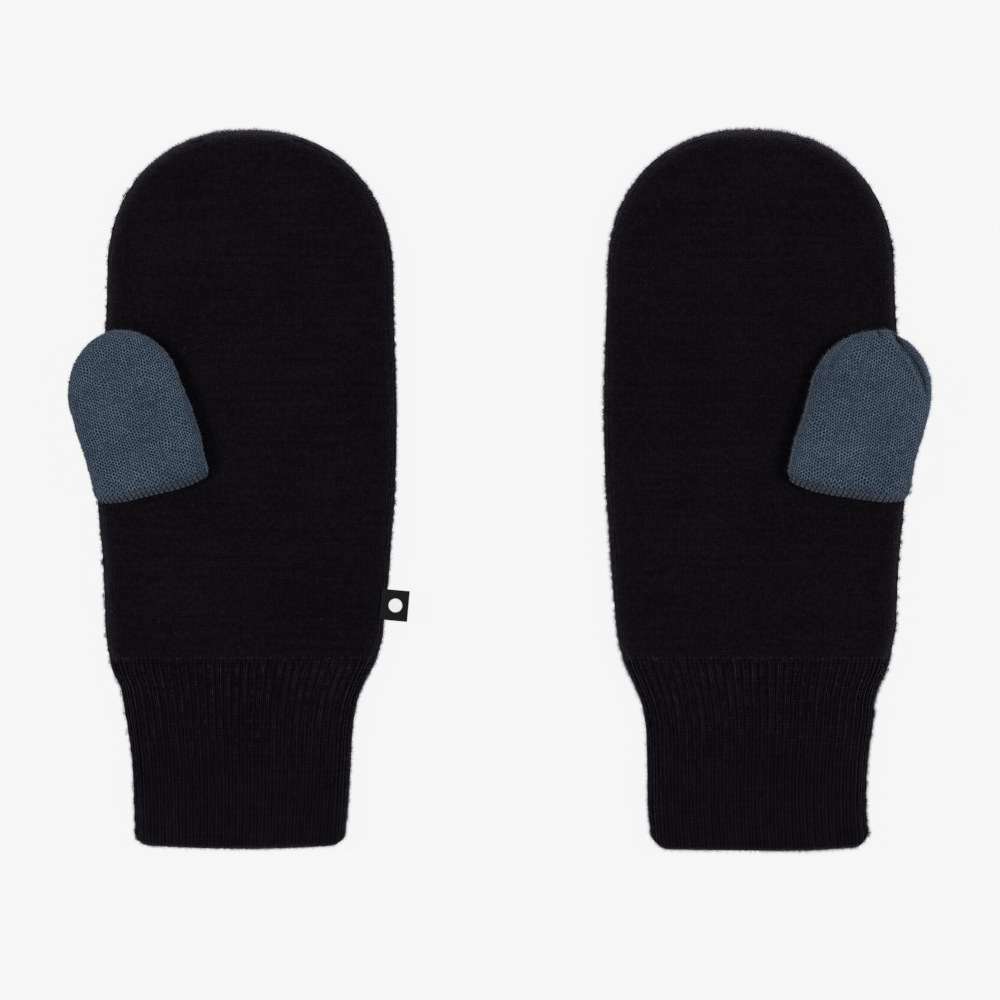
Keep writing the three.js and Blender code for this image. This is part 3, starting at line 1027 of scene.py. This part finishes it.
def knit_material(
    name, gap, yarn, highlight, contrast, sheen, tint, streaks, ribbed=False, looped=False
):
    """Knitted wool: yarn colour by stitch height, uneven holes, and a fibrous surface.

    The stitch UVs count wales and courses, or ribs of two wales where it is ribbed. Its colour runs from
    painted shade in the holes, the rib's grooves and the loops' slots, through the yarn's own colour, to
    a painted highlight on the highest yarn. contrast is how clear its stitches and their painted shade
    are, streaks how clear its lighter and darker courses are, and looped is for a first row of long open
    loops.
    """
    g = Graph(name)
    across, v = g.stitches()
    u = g.scaled(across, 2.0, 0.5) if ribbed else across
    holes, legs = stitch_nodes(g, u, v)
    cloud = g.noise(45.0, 3.0)
    speck = g.noise(750.0, 2.0)
    fibre = g.noise(2600.0, 3.0, 0.7)
    # painted shade in the holes, darker in some holes than in others
    dark = g.times(holes, g.scaled(speck, 2.4 * contrast, -0.3 * contrast))
    # painted shade in the rib's grooves
    if ribbed:
        dark = g.math("ADD", dark, rib_groove_shade(g, across, v, speck))
    # painted shade in the slots between the first row's long open loops
    if looped:
        slot = g.power(g.arch(u, math.pi, "COSINE"), 6.0)
        dark = g.scaled(slot, g.span(v, *LOOSE, 1.0, 0.0), dark)
    legs = g.scaled(legs, LEGS * contrast, 1 - LEGS * contrast)
    height = g.times(g.math("SUBTRACT", 1.0, dark), legs)
    streak = stretched_noise(g, u, v, 0.04, 0.6)
    mottle = g.scaled(speck, 1.0, g.scaled(cloud, 0.3, -1.1))
    mottle = g.scaled(g.math("SUBTRACT", streak, 0.5), streaks, mottle)
    lift = g.math("ADD", height, g.scaled(fibre, 0.9, mottle))
    # colour by height: painted shade in the low parts, the yarn's own colour, and a painted highlight on the
    # highest yarn
    shaded = g.blend(g.span(lift, 0.2, 0.75), gap, yarn)
    return g.finished(
        Base_Color=g.blend(g.span(lift, 0.75, 1.15), shaded, highlight),
        Normal=g.bump(fibre, 0.15 * MM, 0.8, g.bump(height, STITCH_BUMP * MM)),
        Roughness=g.scaled(fibre, 0.1, 0.86),
        Specular_IOR_Level=0.02,
        Sheen_Weight=sheen,
        Sheen_Roughness=0.48,
        Sheen_Tint=tint,
    )


def grey(*srgb):
    """A colour from its 0 to 255 values."""
    c = np.array(srgb) / 255
    linear = np.where(c <= 0.04045, c / 12.92, ((c + 0.055) / 1.055) ** 2.4)
    return (*linear, 1.0)


def yarn_material(name, dark, light, pitch=1.1):
    """Plied yarn: strands that wind round the cord."""
    g = Graph(name)
    turn, run = g.stitches()
    ply = g.arch(g.scaled(run, 1 / pitch, turn), TAU)
    height = g.scaled(g.noise(2600.0, 3.0), 0.5, ply)
    colour = g.blend(g.span(height, 0.2, 1.2), dark, light)
    normal = g.bump(height, 0.12 * MM)
    return g.finished(Base_Color=colour, Normal=normal, Roughness=0.9, Specular_IOR_Level=0.05)


def fleece_material(name, dark, light):
    """Brushed lining: soft clumps of pile."""
    g = Graph(name)
    where = g.node("ShaderNodeTexCoord").outputs["Object"]
    pile = g.node("ShaderNodeTexVoronoi", Vector=where, Scale=900.0).outputs["Distance"]
    height = g.scaled(pile, -0.4, g.noise(420.0, 4.0, 0.65))
    return g.finished(
        Base_Color=g.blend(g.span(height, 0.1, 0.6), dark, light),
        Normal=g.bump(height, 0.4 * MM),
        Roughness=0.95,
        Specular_IOR_Level=0.05,
        Sheen_Weight=0.1,
    )


def fibre_material(name, root, tip):
    """Single loose fibres, a little lighter here and there."""
    g = Graph(name)
    colour = g.blend(g.noise(700.0, 1.0), root, tip)
    return g.finished(Base_Color=colour, Roughness=0.8, Specular_IOR_Level=0.1)


def tape_material(name, dark, light, thread=0.24, relief=0.05, gloss=0.45):
    """Satin-woven tape: long floats across it, with fine warp lines."""
    g = Graph(name)
    across, along = g.stitches()
    warp = g.arch(along, math.pi / thread)
    row = g.math("FLOOR", g.math("DIVIDE", along, thread))
    weft = g.arch(g.scaled(row, 0.4, across), math.pi / (4 * thread))
    height = g.times(g.power(warp, 0.5), g.power(weft, 0.25))
    grain = g.noise(1500.0, 2.0)
    share = g.scaled(grain, 0.4, g.times(height, 0.6))
    return g.finished(
        Base_Color=g.blend(share, dark, light),
        Normal=g.bump(height, relief * MM),
        Roughness=g.scaled(grain, 0.2, gloss),
        Specular_IOR_Level=0.12,
    )


# In each knit the first colour is painted shade in the holes and grooves, and the last a painted highlight
# on the raised yarn.
black_knit = knit_material(
    "black_knit", grey(0, 0, 0), grey(5, 4, 5), grey(21, 18, 22), contrast=1.0, sheen=0.17,
    tint=grey(208, 192, 224), streaks=0.4,
)
black_rib = knit_material(
    "black_rib", grey(0, 0, 0), grey(15, 13, 15), grey(35, 32, 36), contrast=0.7, sheen=0.14,
    tint=grey(208, 192, 224), streaks=0.4, ribbed=True,
)
blue_knit = knit_material(
    "blue_knit", grey(7, 14, 25), grey(48, 61, 76), grey(92, 107, 123), contrast=1.1, sheen=0.2,
    tint=grey(220, 230, 250), streaks=0.1, looped=True,
)
black_yarn = yarn_material("black_yarn", grey(5, 4, 6), grey(15, 13, 17))
fleece = fleece_material("fleece", grey(14, 13, 15), grey(44, 42, 46))
# The loose fibres are real, but coloured far lighter than the knit they stand off: a painted highlight for
# the pale halo along the outlines.
black_fibre = fibre_material("black_fibre", grey(34, 30, 42), grey(92, 86, 106))
blue_fibre = fibre_material("blue_fibre", grey(84, 98, 116), grey(138, 152, 168))
black_tape = tape_material("black_tape", grey(6, 6, 6), grey(18, 18, 17), gloss=0.6)
white_thread = tape_material(
    "white_thread", grey(196, 198, 204), grey(238, 239, 242), relief=0.08, gloss=0.7
)

# ---- assembly


def dress(piece, material, slot, *nodes):
    """Gives a piece its material and hides the CAD nodes that it stands for. slot is not used."""
    piece.data.materials.append(material)
    if nodes:
        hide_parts(*nodes)


for m in (LEFT, RIGHT):
    tube, thumb = mitten_tube(m), thumb_tube(m)
    hand_knit, hand_surface = hand_piece(m, tube, seam_line(tube))
    cuff_rib, cuff_surface = cuff_piece(m, tube)
    lining = lining_piece(
        m, "hand_fleece", tube, row_at(WRIST_Y + 1.5), SHELL + LINING_GAP, LINING, 120, ROW, m.seed
    )
    side_seam = side_seam_piece(m, tube, hand_surface)
    wrist_seam = wrist_seam_piece(m, tube)
    fuzz = fuzz_piece(m, "fuzz", hand_surface, HAND_FIBRES, m.seed, m.fuzz)
    cuff_fuzz = fuzz_piece(m, "cuff_fuzz", cuff_surface[:, ::2], CUFF_FIBRES, m.seed + 9, m.fuzz)
    for piece, material, slot, *nodes in (
        (hand_knit, black_knit, "hand_knit", "hand_shell"),
        (cuff_rib, black_rib, "cuff_rib", "cuff_outer", "cuff_inner"),
        (lining, fleece, "lining", "hand_lining"),
        (side_seam, black_yarn, "seam_yarn", "side_seam"),
        (wrist_seam, black_yarn, "seam_yarn", "wrist_seam"),
        (fuzz, black_fibre, "hand_knit"),
        (cuff_fuzz, black_fibre, "cuff_rib"),
    ):
        dress(piece, material, slot, *[f"{m.name}_{node}" for node in nodes])
        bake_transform(piece)

    thumb_knit, thumb_surface = thumb_piece(m, thumb)
    thumb_depth = THUMB_SHELL + THUMB_GAP
    thumb_lining = lining_piece(
        m, "thumb_fleece", thumb, 1.0, thumb_depth, THUMB_LINING, 60, THUMB_ROW, m.seed + 2
    )
    thumb_fuzz = fuzz_piece(
        m, "thumb_fuzz", thumb_surface[8::2], THUMB_FIBRES, m.seed + 3, m.thumb_fuzz, THUMB_FIBRE
    )
    thumb_seam = thumb_seam_piece(m)
    for piece, material, slot, *nodes in (
        (thumb_knit, blue_knit, "thumb_knit", "thumb_shell"),
        (thumb_lining, fleece, "lining", "thumb_lining"),
        (thumb_seam, black_yarn, "seam_yarn", "thumb_seam"),
        (thumb_fuzz, blue_fibre, "thumb_knit"),
    ):
        dress(piece, material, slot, *[f"{m.name}_{node}" for node in nodes])
        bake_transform(piece)

label, dot = label_piece(), dot_piece()
dress(label, black_tape, "label_tape", "left_label")
dress(dot, white_thread, "motif_yarn", "left_label_motif")
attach(label, "left_label")
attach(dot, "left_label")

# ---- studio

WHITE = 0.92  # what the backdrop shows
SKY = 0.22
LIGHT_AT = (0.88, 0.12, 1.12)  # metres, mirrored for the second light
LIGHT_SIZE = 0.4
LIGHT_POWER = 14
FLOOR_SIZE = 40
FLOOR_Z = -0.0003

world = bpy.data.worlds.new("studio")
scene.world = world
world.use_nodes = True
sky = world.node_tree.nodes["Background"].inputs
sky["Color"].default_value = (1, 1, 1, 1)
sky["Strength"].default_value = SKY

bpy.ops.mesh.primitive_plane_add(size=FLOOR_SIZE, location=(0, 0, FLOOR_Z))
floor = bpy.context.object
floor.name = "floor"
paper = Graph("paper").finished(
    Base_Color=(0.02, 0.02, 0.02, 1),
    Roughness=1.0,
    Specular_IOR_Level=0.0,
    Emission_Color=(1, 1, 1, 1),
    Emission_Strength=WHITE - 0.02,
)
floor.data.materials.append(paper)


def softbox(name, spot, size, power):
    """A square soft light that looks at the pair's middle."""
    data = bpy.data.lights.new(name, "AREA")
    data.energy, data.size = power, size
    light = add_object(name, data)
    light.location = spot
    direction = -np.array(spot) / np.linalg.norm(spot)
    light.rotation_euler = mathutils.Vector(direction).to_track_quat("-Z", "Y").to_euler()


for name, side in (("left_light", -1), ("right_light", 1)):
    softbox(name, (side * LIGHT_AT[0], *LIGHT_AT[1:]), LIGHT_SIZE, LIGHT_POWER)

camera_data = bpy.data.cameras.new("camera")
camera = add_object("camera", camera_data)
camera_data.lens = 100
camera_data.sensor_width = 36
view_width = 1000 / 3 * MM
middle_z = 0.008
camera.location = (0, -0.01 / 3, middle_z + view_width * camera_data.lens / camera_data.sensor_width)
scene.camera = camera
scene.view_settings.view_transform = "Standard"
